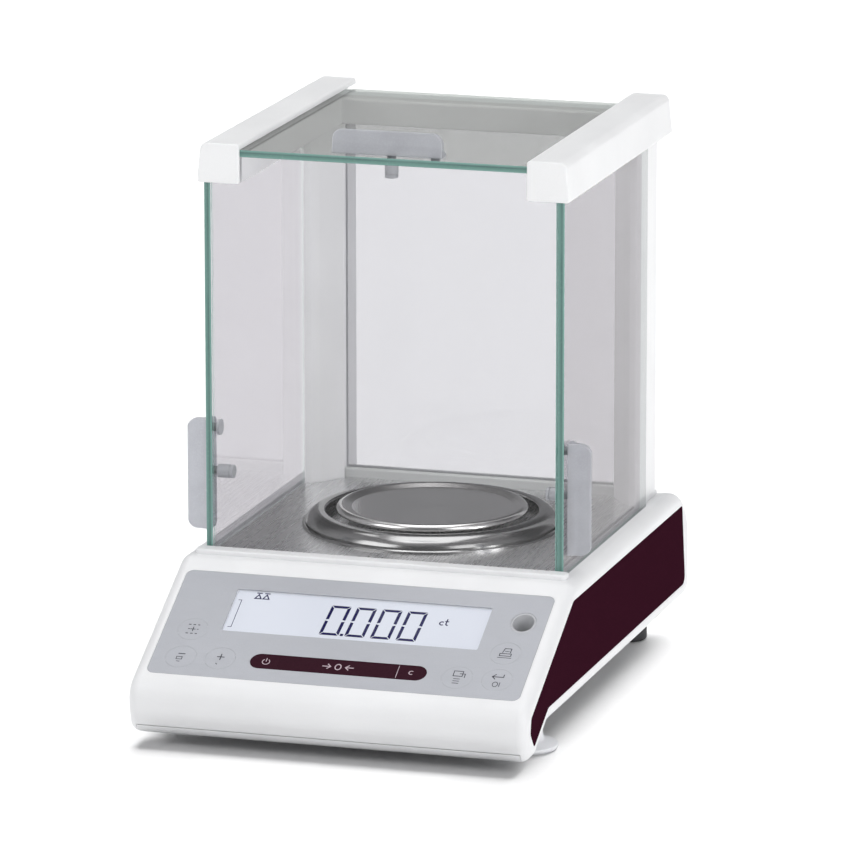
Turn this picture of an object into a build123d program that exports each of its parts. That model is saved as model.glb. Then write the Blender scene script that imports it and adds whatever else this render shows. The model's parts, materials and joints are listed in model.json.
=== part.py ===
"""Analytical balance with a glass draft shield, built as separate named pieces.

Axes: +X to the right of a person at the display, +Y to the rear, +Z up. The origin is on the
table, under the centre of the base. All sizes are millimetres.
"""

import os
from math import copysign, cos, radians, sin, tan

from build123d import *

os.makedirs("parts", exist_ok=True)

# ---- Driving dimensions ----------------------------------------------------------------------
half_width = 94.0  # base, centre to side
half_depth = 140.0  # base, centre to nose or rear
deck_z = 69.2  # top of the base under the draft shield
underside_z = 15.0  # flat underside of the base
nose_z = 4.2  # underside of the nose
wall = 2.6  # moulded walls of the base
side_wall = 3.8  # the two side skirts
edge_r = 5.2  # rounding of the base's outline
slope = radians(28.54)  # tilt of the control face
face_y, face_z = -131.7, 31.6  # lower edge of the keypad overlay
glass = 3.0  # every pane
door_x = 82.3  # inner face of a side door
front_y = -51.5  # front face of the front pane
rail_z, rail_top_z = 241.8, 260.2  # underside and top of the side rails
rail_rear_y = 123.7
top_glass_z = 254.4  # underside of the top door
pan_y = 25.0  # centre of the pan
pan_r = 45.0
fit = 0.1  # gap between a piece and the recess that it sits in
run = 0.05  # radial gap of a turning shaft

# ---- Planes and outlines used by more than one piece ------------------------------------------
face_plane = Plane(origin=(0, face_y, face_z), x_dir=(1, 0, 0), z_dir=(0, -sin(slope), cos(slope)))
deck_front_y = face_y + (deck_z - face_z) / tan(slope)
nose_top_z = face_z - (face_y + half_depth) * tan(slope)

base_corners = [
    (-half_depth + 3.4, nose_z),
    (-half_depth, 15.0),
    (-half_depth, nose_top_z),
    (deck_front_y, deck_z),
    (half_depth, deck_z),
    (half_depth, underside_z),
    (-105.3, underside_z),
    (-125.0, nose_z),
]
base_radii = [5.6, 14.0, 11.5, 6.0, 26.0, 8.0, 8.0, 8.0]

panel_drop = 5.7 / cos(slope)  # side panel's edge below the control face, measured down
panel_top_z, panel_low_z = 61.5, 22.3
panel_front_y = -133.2
panel_corners = [
    (panel_front_y, face_z + (panel_front_y - face_y) * tan(slope) - panel_drop),
    (face_y + (panel_top_z + panel_drop - face_z) / tan(slope), panel_top_z),
    (125.1, panel_top_z),
    (131.2, panel_low_z),
    (-105.5, panel_low_z),
    (-128.3, 9.9),
    (-134.4, 17.4),
]
panel_radii = [3.0, 6.0, 1.5, 4.0, 6.0, 2.2, 3.0]
panel_t = 0.5

post_outline = [(82.0, 84.5), (78.3, 84.8), (74.9, 88.0), (67.0, 99.8), (67.0, 122.0), (82.0, 122.0)]
post_radii = [0.8, 1.5, 5.0, 1.0, 2.0, 3.0]
rear_glass_y = 104.1

# ---- Control face: places on the face plane, from the middle of the overlay's lower edge --------
overlay_w, overlay_h, overlay_t = 175.2, 68.9, 0.5
window_w, window_h, window_s = 121.0, 27.9, 44.65
window_r, window_t = 0.9, 1.0
pill_w, pill_h, pill_s = 83.0, 9.5, 12.75
round_key_r = 7.0
round_keys = {
    "minus_key": (-74.2, 11.6),
    "plus_key": (-55.7, 12.4),
    "unit_key": (-73.9, 30.0),
    "print_key": (74.0, 29.8),
    "menu_key": (56.0, 12.0),
    "enter_key": (74.5, 12.4),
}
split_x = 27.5
pill_keys = {
    "on_off_key": (-pill_w / 2, -split_x - 0.03),
    "tare_key": (-split_x + 0.03, split_x - 0.15),
    "adjust_key": (split_x + 0.15, pill_w / 2),
}
key_gap = 0.06
key_t = 3.5
board_depth = 8.1  # control face to the display board
dome_h = 0.4
level_x, level_s, level_r = 77.0, 50.5, 5.8
level_y = face_y + level_s * cos(slope)
board_bosses = [(-65.3, 21.5), (65.3, 21.5), (-67.0, 61.5), (67.0, 61.5)]

# ---- Fasteners, feet and sockets ---------------------------------------------------------------
housing_screw_xy = [(-82, -60), (82, -60), (-82, 60), (82, 60)]
cell_screw_xy = [(-24, 4), (24, 4), (-24, 116), (24, 116)]
post_screw_y = [93.0, 114.5]
post_screw_x = 75.0
screw_r = 1.5
foot_x, foot_y, stud_r = 80.0, -95.0, 4.0
rear_foot_x, rear_foot_y = 72.0, 105.0
hook_pin_y = 43.0
main_board_z = 30.0
board_t = 1.6
jack_x, usb_x, serial_x = -74.0, -58.5, -35.5
socket_z = main_board_z + board_t
socket_end_y = half_depth - 0.5


def finish(builder, name):
    """Label a finished piece and write its STEP file."""
    builder.part.label = name
    export_step(builder.part, f"parts/{name}.step")


def base_block():
    """The outer form of the base, both housings together, with its rounded outline."""
    with BuildPart() as block:
        with BuildSketch(Plane.YZ):
            with BuildLine():
                FilletPolyline(*base_corners, radius=base_radii, close=True)
            make_face()
        extrude(amount=half_width, both=True)
        side_edges = [e for e in block.edges() if abs(e.center().X) > half_width - 0.01]
        fillet(side_edges, radius=edge_r)
    return block.part


def prism_yz(points, x_half):
    """A solid across the base from a polygon in the YZ plane."""
    with BuildPart() as solid:
        with BuildSketch(Plane.YZ):
            Polygon(*points, align=None)
        extrude(amount=x_half, both=True)
    return solid.part


def pill_segment(x_low, x_high, grow=0.0):
    """Part of the pill-shaped key bar, between two places along its length."""
    with BuildSketch() as sketch:
        with Locations((0, pill_s)):
            SlotOverall(pill_w + 2 * grow, pill_h + 2 * grow)
        with Locations(((x_low + x_high) / 2, pill_s)):
            Rectangle(x_high - x_low, pill_h + 2 * grow, mode=Mode.INTERSECT)
    return sketch.sketch


base_solid = base_block()
seam_z = 8.4
seam_gap = 0.3
bar_w, bar_d, bar_z = 177.0, 7.8, 71.6
opening_depth = 4.0
track_w, track_depth = 4.0, 2.0
seat_w, seat_d = 164.0, 38.4
boss_r = 4.0
screw_hole_depth = 12.0
support_hole_r = 16.0
post_hole_r = 2.1
cavity_half = half_width - side_wall
lower_region = [
    (-half_depth - 5, 0),
    (-half_depth - 5, seam_z),
    (-134.6, seam_z),
    (-134.6, nose_z + 2.5),
    (-125.4, nose_z + 2.5),
    (-106.0, underside_z + 2.5),
    (half_depth - wall - fit, underside_z + 2.5),
    (half_depth - wall - fit, 0),
]

# ---- Upper housing -----------------------------------------------------------------------------
with BuildPart() as upper_housing:
    add(base_solid)
    # Raised bar in front of the front pane, and the flat seat of the rear frame.
    with BuildSketch(Plane.XY.offset(deck_z - 3)):
        with Locations((0, front_y - bar_d / 2 - 0.2)):
            RectangleRounded(bar_w, bar_d, 2.2)
    extrude(amount=bar_z - deck_z + 3)
    bar_top = upper_housing.faces().filter_by(Axis.Z).sort_by(Axis.Z)[-1]
    fillet(bar_top.edges(), radius=0.9)
    with Locations((0, 103.3, deck_z - 5.2)):
        Box(seat_w, seat_d, 5.2, align=(Align.CENTER, Align.CENTER, Align.MIN))
    # Hollow inside, open below for the lower housing.
    with BuildSketch(Plane.YZ):
        with BuildLine():
            FilletPolyline(*base_corners, radius=base_radii, close=True)
        make_face()
        offset(amount=-wall)
    extrude(amount=cavity_half, both=True, mode=Mode.SUBTRACT)
    add(
        prism_yz(
            [
                (-half_depth - 5, 0),
                (-half_depth - 5, seam_z + seam_gap),
                (-130, seam_z + seam_gap),
                (-106, 22),
                (half_depth - wall, 22),
                (half_depth - wall, 0),
            ],
            cavity_half,
        ),
        mode=Mode.SUBTRACT,
    )
    # Ribs under the two door tracks and the blocks under the posts.
    with Locations((84, 35, 63.2), (-84, 35, 63.2)):
        Box(9, 176, 4.4, align=(Align.CENTER, Align.CENTER, Align.MIN))
    with Locations((74, 103.0, 62.6), (-74, 103.0, 62.6)):
        Box(16, 37, 5, align=(Align.CENTER, Align.CENTER, Align.MIN))
    # Screw bosses, and posts that carry the display board.
    with Locations([(x, y, underside_z + 2.6) for x, y in housing_screw_xy]):
        Cylinder(boss_r, 48.8, align=(Align.CENTER, Align.CENTER, Align.MIN))
        Cylinder(screw_r + run, screw_hole_depth, align=(Align.CENTER, Align.CENTER, Align.MIN), mode=Mode.SUBTRACT)
    with BuildSketch(face_plane.offset(-board_depth)):
        with Locations(board_bosses):
            Circle(2.5)
    extrude(amount=board_depth - 2.0)
    # Recess of the overlay, the display opening, key openings and the level's bore.
    with BuildSketch(face_plane.offset(-overlay_t)):
        with Locations((0, overlay_h / 2)):
            RectangleRounded(overlay_w + 2 * fit, overlay_h + 2 * fit, 3.5)
    extrude(amount=5, mode=Mode.SUBTRACT)
    with BuildSketch(face_plane):
        with Locations((0, window_s)):
            RectangleRounded(window_w + 2 * fit, window_h + 2 * fit, window_r + fit)
        with Locations(list(round_keys.values())):
            Circle(round_key_r + key_gap)
        with Locations((0, pill_s)):
            SlotOverall(pill_w + 2 * key_gap, pill_h + 2 * key_gap)
    extrude(amount=-opening_depth, mode=Mode.SUBTRACT)
    with Locations((level_x, level_y, 56)):
        Cylinder(level_r, 20, mode=Mode.SUBTRACT)
    # Tracks of the side doors, seat of the front pane, hole for the pan support.
    with Locations((84, 41.2, deck_z - track_depth), (-84, 41.2, deck_z - track_depth)):
        Box(track_w, 185.6, 8, align=(Align.CENTER, Align.CENTER, Align.MIN), mode=Mode.SUBTRACT)
    with Locations((0, front_y + glass / 2, deck_z - 1.4)):
        Box(2 * 82.0, glass + 2 * fit, 4, align=(Align.CENTER, Align.CENTER, Align.MIN), mode=Mode.SUBTRACT)
    with Locations((0, pan_y, deck_z)):
        Cylinder(support_hole_r, 12, mode=Mode.SUBTRACT)
    with Locations([(x, y, deck_z) for x in (-post_screw_x, post_screw_x) for y in post_screw_y]):
        Cylinder(post_hole_r, 20, mode=Mode.SUBTRACT)
    # Recesses of the side panels.
    with BuildSketch(Plane.YZ.offset(-half_width + panel_t)):
        with BuildLine():
            FilletPolyline(*panel_corners, radius=panel_radii, close=True)
        make_face()
        offset(amount=fit)
    extrude(amount=-5, mode=Mode.SUBTRACT)
    with BuildSketch(Plane.YZ.offset(half_width - panel_t)):
        with BuildLine():
            FilletPolyline(*panel_corners, radius=panel_radii, close=True)
        make_face()
        offset(amount=fit)
    extrude(amount=5, mode=Mode.SUBTRACT)
    # Openings in the rear wall for the three sockets.
    with BuildSketch(Plane.XZ.offset(-half_depth)):
        with Locations((jack_x, socket_z + 5.5)):
            Rectangle(9.4, 11.4)
        with Locations((usb_x, socket_z + 5.5)):
            Rectangle(12.4, 11.4)
        with Locations((serial_x, socket_z + 6.2)):
            RectangleRounded(17.6, 9.4, 1.5)
        with Locations((serial_x - 12.5, socket_z + 6.2), (serial_x + 12.5, socket_z + 6.2)):
            Circle(2.9)
    extrude(amount=4, both=True, mode=Mode.SUBTRACT)
finish(upper_housing, "upper_housing")

# ---- Lower housing -----------------------------------------------------------------------------
lower_half = cavity_half - 0.2
with BuildPart() as lower_housing:
    add(base_solid)
    add(prism_yz(lower_region, lower_half), mode=Mode.INTERSECT)
    # Upstands inside the skirts of the upper housing.
    with Locations((lower_half - 1, 16, 17), (-lower_half + 1, 16, 17)):
        Box(2, 236, 7, align=(Align.CENTER, Align.CENTER, Align.MIN))
    with Locations((0, half_depth - wall - fit - 1, 17)):
        Box(2 * lower_half, 2, 7, align=(Align.CENTER, Align.CENTER, Align.MIN))
    # Bosses of the levelling feet, the weigh cell, the main board and the hook cover.
    with Locations((foot_x, foot_y, 15), (-foot_x, foot_y, 15)):
        Cylinder(7.4, 21, align=(Align.CENTER, Align.CENTER, Align.MIN))
        Cylinder(stud_r + run, 60, mode=Mode.SUBTRACT)
    with Locations([(x, y, 17) for x, y in cell_screw_xy]):
        Cylinder(4, 3, align=(Align.CENTER, Align.CENTER, Align.MIN))
    with Locations((-72, -14, 17), (-42, -14, 17), (-72, 108, 17), (-42, 112, 17)):
        Cylinder(3, main_board_z - 17, align=(Align.CENTER, Align.CENTER, Align.MIN))
    with Locations((0, hook_pin_y, 15)):
        Cylinder(4.5, 4.8, align=(Align.CENTER, Align.CENTER, Align.MIN))
        Cylinder(2 + run, 30, mode=Mode.SUBTRACT)
    # Through holes: screws, rear feet, weighing-below hook.
    with Locations([(x, y, 15) for x, y in housing_screw_xy + cell_screw_xy]):
        Cylinder(screw_r + 0.2, 12, mode=Mode.SUBTRACT)
    with Locations((rear_foot_x, rear_foot_y, 15), (-rear_foot_x, rear_foot_y, 15)):
        Cylinder(3, 12, mode=Mode.SUBTRACT)
    with Locations((0, pan_y, 15)):
        Cylinder(8, 12, mode=Mode.SUBTRACT)
finish(lower_housing, "lower_housing")

# ---- Side panels -------------------------------------------------------------------------------
for name, side in (("left_side_panel", -1), ("right_side_panel", 1)):
    with BuildPart() as side_panel:
        with BuildSketch(Plane.YZ.offset(side * (half_width - panel_t))):
            with BuildLine():
                FilletPolyline(*panel_corners, radius=panel_radii, close=True)
            make_face()
        extrude(amount=side * panel_t)
    finish(side_panel, name)

# ---- Control face: overlay, display and keys ---------------------------------------------------
with BuildPart() as keypad_overlay:
    with BuildSketch(face_plane.offset(-overlay_t)):
        with Locations((0, overlay_h / 2)):
            RectangleRounded(overlay_w, overlay_h, 3.4)
        with Locations((0, window_s)):
            RectangleRounded(window_w, window_h, window_r, mode=Mode.SUBTRACT)
        with Locations(list(round_keys.values())):
            Circle(round_key_r + key_gap, mode=Mode.SUBTRACT)
        with Locations((0, pill_s)):
            SlotOverall(pill_w + 2 * key_gap, pill_h + 2 * key_gap, mode=Mode.SUBTRACT)
    extrude(amount=overlay_t)
    with Locations((level_x, level_y, 56)):
        Cylinder(level_r, 20, mode=Mode.SUBTRACT)
finish(keypad_overlay, "keypad_overlay")

with BuildPart() as display_window:
    with BuildSketch(face_plane.offset(-window_t - 0.05)):
        with Locations((0, window_s)):
            RectangleRounded(window_w, window_h, window_r)
    extrude(amount=window_t)
finish(display_window, "display_window")

lcd_t = 2.2
with BuildPart() as lcd_panel:
    with BuildSketch(face_plane.offset(-window_t - fit - lcd_t)):
        with Locations((0, window_s)):
            RectangleRounded(window_w - 2 * fit, window_h - 2 * fit, window_r)
    extrude(amount=lcd_t)
finish(lcd_panel, "lcd_panel")

with BuildPart() as lcd_backlight:
    with BuildSketch(face_plane.offset(-board_depth + 0.1)):
        with Locations((0, window_s)):
            Rectangle(window_w + 3, window_h + 3)
    extrude(amount=board_depth - window_t - lcd_t - 3 * fit)
    with BuildSketch(face_plane.offset(-board_depth)):
        with Locations([(x, window_s) for x in (-58, -20, 20, 58)]):
            Rectangle(2, 8)
    extrude(amount=0.1)
finish(lcd_backlight, "lcd_backlight")

ribbon_x, ribbon_w = -56.0, 20.0
connector_s = 53.0
with BuildPart() as display_board:
    with BuildSketch(face_plane.offset(-board_depth - board_t)):
        with Locations((0, 34)):
            RectangleRounded(168, 60, 2)
    extrude(amount=board_t)
    with BuildSketch(face_plane.offset(-board_depth - board_t - 3)):
        with Locations((ribbon_x, connector_s)):
            Rectangle(ribbon_w + 4, 6)
    extrude(amount=3)
    with Locations((level_x, level_y, 50)):
        Cylinder(level_r + 0.8, 40, mode=Mode.SUBTRACT)
finish(display_board, "display_board")

key_places = list(round_keys.values())
key_places += [((x_low + x_high) / 2, pill_s) for x_low, x_high in pill_keys.values()]
with BuildPart() as key_domes:
    with BuildSketch(face_plane.offset(-board_depth)):
        with Locations(key_places):
            Circle(3)
    extrude(amount=dome_h, taper=45)
finish(key_domes, "key_domes")

stem_end = board_depth - dome_h - 0.4
for name, (key_x, key_s) in round_keys.items():
    with BuildPart() as round_key:
        with BuildSketch(face_plane.offset(-key_t)):
            with Locations((key_x, key_s)):
                Circle(round_key_r)
        extrude(amount=key_t)
        with BuildSketch(face_plane.offset(-key_t)):
            with Locations((key_x, key_s)):
                Circle(round_key_r + 0.8)
        extrude(amount=0.8)
        with BuildSketch(face_plane.offset(-stem_end)):
            with Locations((key_x, key_s)):
                Circle(1.6)
        extrude(amount=stem_end - key_t)
    finish(round_key, name)

for name, (x_low, x_high) in pill_keys.items():
    with BuildPart() as pill_key:
        with BuildSketch(face_plane.offset(-key_t)):
            add(pill_segment(x_low, x_high))
        extrude(amount=key_t)
        with BuildSketch(face_plane.offset(-key_t)):
            with Locations(((x_low + x_high) / 2, pill_s)):
                Rectangle(6, pill_h + 1.6)
        extrude(amount=0.8)
        with BuildSketch(face_plane.offset(-stem_end)):
            with Locations(((x_low + x_high) / 2, pill_s)):
                Circle(1.6)
        extrude(amount=stem_end - key_t)
    finish(pill_key, name)

# ---- Level indicator: an upright cup under the face, and its vial ------------------------------
cup_floor_z = 40.0
vial_top_z = 45.5
with BuildPart() as level_cup:
    with Locations((level_x, level_y, cup_floor_z)):
        Cylinder(level_r - fit, 30, align=(Align.CENTER, Align.CENTER, Align.MIN))
    with Locations((level_x, level_y, cup_floor_z + 1.5)):
        Cylinder(level_r - 0.9, 30, align=(Align.CENTER, Align.CENTER, Align.MIN), mode=Mode.SUBTRACT)
    split(bisect_by=face_plane.offset(-0.1), keep=Keep.BOTTOM)
finish(level_cup, "level_cup")

with BuildPart() as level_vial:
    with Locations((level_x, level_y, cup_floor_z + 1.5)):
        Cylinder(level_r - 1.0, vial_top_z - cup_floor_z - 1.5, align=(Align.CENTER, Align.CENTER, Align.MIN))
    fillet(level_vial.edges().sort_by(Axis.Z)[-1], radius=0.8)
finish(level_vial, "level_vial")

# ---- Weighing chamber floor, draft ring, pan ----------------------------------------------------
plate_t = 0.8
plate_x, plate_front_y, plate_rear_y = 81.4, front_y + glass + 0.5, 101.1
with BuildPart() as chamber_floor:
    with BuildSketch(Plane.XY.offset(deck_z)):
        with BuildLine():
            Polyline(
                (0, plate_front_y),
                (plate_x, plate_front_y),
                (plate_x, 84.2),
                (78.2, 84.5),
                (74.4, 87.7),
                (66.6, 99.4),
                (66.6, plate_rear_y),
                (0, plate_rear_y),
            )
            mirror(about=Plane.YZ)
        make_face()
        with Locations((0, pan_y)):
            Circle(support_hole_r, mode=Mode.SUBTRACT)
    extrude(amount=plate_t)
finish(chamber_floor, "chamber_floor")

floor_z = deck_z + plate_t
ring_r = 60.8
with BuildPart() as draft_ring:
    with BuildSketch(Plane.XZ.offset(-pan_y)):
        with BuildLine():
            Polyline(
                (57.0, floor_z),
                (ring_r, floor_z),
                (ring_r, floor_z + 1.0),
                (60.2, floor_z + 1.5),
                (58.2, floor_z + 1.5),
                (58.2, floor_z + 2.1),
                (59.4, floor_z + 2.3),
            )
            ThreePointArc((59.4, floor_z + 2.3), (57.4, floor_z + 5.0), (50.8, floor_z + 7.2))
            ThreePointArc((50.8, floor_z + 7.2), (49.9, floor_z + 6.8), (49.7, floor_z + 5.9))
            Polyline((49.7, floor_z + 5.9), (54.5, floor_z + 2.4), (57.0, floor_z))
        make_face()
    revolve(axis=Axis((0, pan_y, 0), (0, 0, 1)))
finish(draft_ring, "draft_ring")

seat_z = 74.2
dish_z = 77.4
with BuildPart() as weighing_pan:
    with BuildSketch(Plane.XZ.offset(-pan_y)):
        with BuildLine():
            Polyline(
                (0, dish_z),
                (4.1, dish_z),
                (4.1, seat_z),
                (8.0, seat_z),
                (8.0, dish_z),
                (38.0, dish_z),
                (41.6, dish_z + 1.2),
            )
            ThreePointArc((41.6, dish_z + 1.2), (43.6, dish_z + 0.8), (44.3, dish_z - 0.5))
            Line((44.3, dish_z - 0.5), (pan_r, dish_z - 0.5))
            ThreePointArc((pan_r, dish_z - 0.5), (44.5, dish_z + 1.1), (42.3, dish_z + 2.2))
            Polyline((42.3, dish_z + 2.2), (41.0, dish_z + 2.0), (37.7, dish_z + 0.8), (0, dish_z + 0.8), (0, dish_z))
        make_face()
    revolve(axis=Axis((0, pan_y, 0), (0, 0, 1)))
finish(weighing_pan, "weighing_pan")

receiver_top_z = 62.0
with BuildPart() as pan_support:
    with BuildSketch(Plane.XZ.offset(-pan_y)):
        with BuildLine():
            Polyline(
                (0, receiver_top_z),
                (10, receiver_top_z),
                (10, receiver_top_z + 2),
                (5, receiver_top_z + 4),
                (5, seat_z - 2.6),
                (13, seat_z - 1.4),
                (13, seat_z),
                (4, seat_z),
                (4, dish_z - 0.1),
                (0, dish_z - 0.1),
                (0, receiver_top_z),
            )
        make_face()
    revolve(axis=Axis((0, pan_y, 0), (0, 0, 1)))
finish(pan_support, "pan_support")

# ---- Weigh cell: load receiver, parallel guides, frame, lever, coil, magnet, sensor --------------
cell_z = 20.0
fulcrum_y, fulcrum_z = 64.0, 47.0
receiver_rear_y = pan_y + 8
column_y = 56.0
coil_y = 98.0
lever_z = 44.0
with BuildPart() as load_receiver:
    with Locations((0, pan_y, 28)):
        Box(32, 16, receiver_top_z - 28, align=(Align.CENTER, Align.CENTER, Align.MIN))
    with Locations((0, receiver_rear_y + 3, lever_z - 2)):
        Box(16, 8, 1.6, align=(Align.CENTER, Align.CENTER, Align.MIN))
    with Locations((0, pan_y, 28)):
        Hole(3, depth=8)
finish(load_receiver, "load_receiver")

with BuildPart() as parallel_guides:
    with Locations((0, receiver_rear_y, 30), (0, receiver_rear_y, 58)):
        Box(40, column_y - receiver_rear_y, 1, align=(Align.CENTER, Align.MIN, Align.MIN))
    with Locations((0, (receiver_rear_y + column_y) / 2, 44)):
        Box(16, 12, 60, mode=Mode.SUBTRACT)
finish(parallel_guides, "parallel_guides")

with BuildPart() as cell_frame:
    with Locations((0, -2, cell_z)):
        Box(60, 124, 5, align=(Align.CENTER, Align.MIN, Align.MIN))
    with Locations((0, column_y, cell_z)):
        Box(60, 16, 42, align=(Align.CENTER, Align.MIN, Align.MIN))
    with Locations((0, column_y + 8, fulcrum_z)):
        Box(18, 20, 12, mode=Mode.SUBTRACT)
    with Locations((0, pan_y, cell_z)):
        Cylinder(12, 12, mode=Mode.SUBTRACT)
    with BuildSketch(Plane.YZ):
        with Locations((fulcrum_y, fulcrum_z)):
            Circle(2)
    extrude(amount=12, both=True)
    with Locations([(x, y, cell_z) for x, y in cell_screw_xy]):
        Cylinder(screw_r + run, 11, mode=Mode.SUBTRACT)
    with Locations((0, hook_pin_y, cell_z)):
        Cylinder(5, 2, mode=Mode.SUBTRACT)
finish(cell_frame, "cell_frame")

with BuildPart() as cell_lever:
    with Locations((0, 36, lever_z)):
        Box(12, coil_y - 36, 6, align=(Align.CENTER, Align.MIN, Align.MIN))
    with Locations((0, coil_y, lever_z)):
        Cylinder(15.5, 2, align=(Align.CENTER, Align.CENTER, Align.MIN))
    with Locations((0, coil_y, lever_z)):
        Box(2, 19, 5, align=(Align.CENTER, Align.MIN, Align.MIN))
    with BuildSketch(Plane.YZ):
        with Locations((fulcrum_y, fulcrum_z)):
            Circle(2 + run)
    extrude(amount=12, both=True, mode=Mode.SUBTRACT)
finish(cell_lever, "cell_lever")

with BuildPart() as coil:
    with Locations((0, coil_y, lever_z - 10)):
        Cylinder(15.5, 10, align=(Align.CENTER, Align.CENTER, Align.MIN))
        Cylinder(13.0, 10, align=(Align.CENTER, Align.CENTER, Align.MIN), mode=Mode.SUBTRACT)
finish(coil, "coil")

with BuildPart() as magnet:
    with Locations((0, coil_y, cell_z + 5)):
        Cylinder(21, 17, align=(Align.CENTER, Align.CENTER, Align.MIN))
    with BuildSketch(Plane.XY.offset(30)):
        with Locations((0, coil_y)):
            Circle(16.3)
            Circle(12.2, mode=Mode.SUBTRACT)
    extrude(amount=20, mode=Mode.SUBTRACT)
    fillet(magnet.faces().sort_by(Axis.Z)[-1].edges(), radius=0.6)
finish(magnet, "magnet")

with BuildPart() as position_sensor:
    with Locations((0, 119.8, cell_z + 5)):
        Box(22, board_t, 30, align=(Align.CENTER, Align.MIN, Align.MIN))
    with Locations((-3.5, 119.8, 43), (3.5, 119.8, 43)):
        Box(3.5, 5, 9, align=(Align.CENTER, Align.MAX, Align.MIN))
finish(position_sensor, "position_sensor")

# ---- Main board, ribbon cable and sockets --------------------------------------------------------
with BuildPart() as main_board:
    with Locations((-77, -20, main_board_z)):
        Box(41, 140, board_t, align=(Align.MIN, Align.MIN, Align.MIN))
    with Locations((-80.5, 118, main_board_z)):
        Box(62, 18, board_t, align=(Align.MIN, Align.MIN, Align.MIN))
    with Locations((ribbon_x, -20, socket_z)):
        Box(ribbon_w + 4, 6, 4, align=(Align.CENTER, Align.MIN, Align.MIN))
    with Locations((-56, 20, socket_z), (-60, 56, socket_z)):
        Box(14, 14, 1.4, align=(Align.CENTER, Align.CENTER, Align.MIN))
    with Locations((-68, 88, socket_z), (-50, 88, socket_z)):
        Cylinder(5, 12, align=(Align.CENTER, Align.CENTER, Align.MIN))
finish(main_board, "main_board")

ribbon_depth = board_depth + board_t + 3
ribbon_start = face_plane.from_local_coords((0, connector_s, -ribbon_depth))
ribbon_bend = face_plane.from_local_coords((0, connector_s, -ribbon_depth - 8))
with BuildPart() as display_ribbon:
    with BuildSketch(Plane.YZ.offset(ribbon_x - ribbon_w / 2)):
        with BuildLine():
            FilletPolyline(
                (ribbon_start.Y, ribbon_start.Z),
                (ribbon_bend.Y, ribbon_bend.Z),
                (-52, socket_z + 2),
                (-20, socket_z + 2),
                radius=5,
            )
        trace(line_width=0.5)
    extrude(amount=ribbon_w)
finish(display_ribbon, "display_ribbon")

with BuildPart() as power_socket:
    with Locations((jack_x, socket_end_y, socket_z)):
        Box(9, 14, 11, align=(Align.CENTER, Align.MAX, Align.MIN))
    with BuildSketch(Plane.XZ.offset(-socket_end_y)):
        with Locations((jack_x, socket_z + 5.5)):
            Circle(3.1)
            Circle(1.0, mode=Mode.SUBTRACT)
    extrude(amount=10, mode=Mode.SUBTRACT)
finish(power_socket, "power_socket")

with BuildPart() as usb_socket:
    with Locations((usb_x, socket_end_y, socket_z)):
        Box(12, 16, 11, align=(Align.CENTER, Align.MAX, Align.MIN))
    with BuildSketch(Plane.XZ.offset(-socket_end_y)):
        with Locations((usb_x, socket_z + 5.5)):
            Rectangle(8.5, 7.8)
            Rectangle(5.6, 3.2, mode=Mode.SUBTRACT)
    extrude(amount=9, mode=Mode.SUBTRACT)
finish(usb_socket, "usb_socket")

with BuildPart() as serial_socket:
    with Locations((serial_x, half_depth - wall - 0.1, socket_z)):
        Box(30.8, 10, 12.4, align=(Align.CENTER, Align.MAX, Align.MIN))
    with BuildSketch(Plane.XZ.offset(-(half_depth - wall - 0.1))):
        with Locations((serial_x, socket_z + 6.2)):
            RectangleRounded(16.8, 8.4, 1.5)
            RectangleRounded(15.8, 7.4, 1.1, mode=Mode.SUBTRACT)
            with Locations([(-5.4 + 2.7 * i, 1.4) for i in range(5)]):
                Circle(0.5)
            with Locations([(-4.05 + 2.7 * i, -1.4) for i in range(4)]):
                Circle(0.5)
        with Locations((serial_x - 12.5, socket_z + 6.2), (serial_x + 12.5, socket_z + 6.2)):
            RegularPolygon(2.6, 6)
            Circle(1.3, mode=Mode.SUBTRACT)
    extrude(amount=-(wall - 0.3))
finish(serial_socket, "serial_socket")

# ---- Draft shield: fixed panes, sill, posts, crossbeam, rails ------------------------------------
with BuildPart() as front_glass:
    with Locations((0, front_y, deck_z - 1.3)):
        Box(2 * 81.8, glass, 254.2 - deck_z + 1.3, align=(Align.CENTER, Align.MIN, Align.MIN))
    chamfer(front_glass.edges().filter_by(Axis.Z), length=0.3)
finish(front_glass, "front_glass")

with BuildPart() as rear_glass:
    with Locations((0, rear_glass_y, 72.1)):
        Box(2 * 70.8, glass, rail_z - 0.1 - 72.1, align=(Align.CENTER, Align.MIN, Align.MIN))
finish(rear_glass, "rear_glass")

with BuildPart() as rear_sill:
    with Locations((0, plate_rear_y + fit, deck_z)):
        Box(2 * 66.9, 9, 5.3, align=(Align.CENTER, Align.MIN, Align.MIN))
    fillet(rear_sill.edges().filter_by(Axis.X).group_by(Axis.Z)[-1], radius=0.8)
    with Locations((0, rear_glass_y - fit, 72)):
        Box(140, glass + 2 * fit, 10, align=(Align.CENTER, Align.MIN, Align.MIN), mode=Mode.SUBTRACT)
finish(rear_sill, "rear_sill")

for name, side in (("left_post", -1), ("right_post", 1)):
    with BuildPart() as post:
        with BuildSketch(Plane.XY.offset(deck_z)):
            with BuildLine():
                FilletPolyline(*[(side * x, y) for x, y in post_outline], radius=post_radii, close=True)
            make_face()
            with Locations((side * 68.9, rear_glass_y + glass / 2)):
                Rectangle(4.2, glass + 2 * fit, mode=Mode.SUBTRACT)
        extrude(amount=rail_z - deck_z)
        with Locations((side * 76.5, 112.5, rail_z)):
            Box(6, 12, 6, align=(Align.CENTER, Align.CENTER, Align.MIN))
        with Locations([(side * post_screw_x, y, deck_z) for y in post_screw_y]):
            Cylinder(1.9 + run, 2 * 22, mode=Mode.SUBTRACT)
    finish(post, name)

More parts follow.
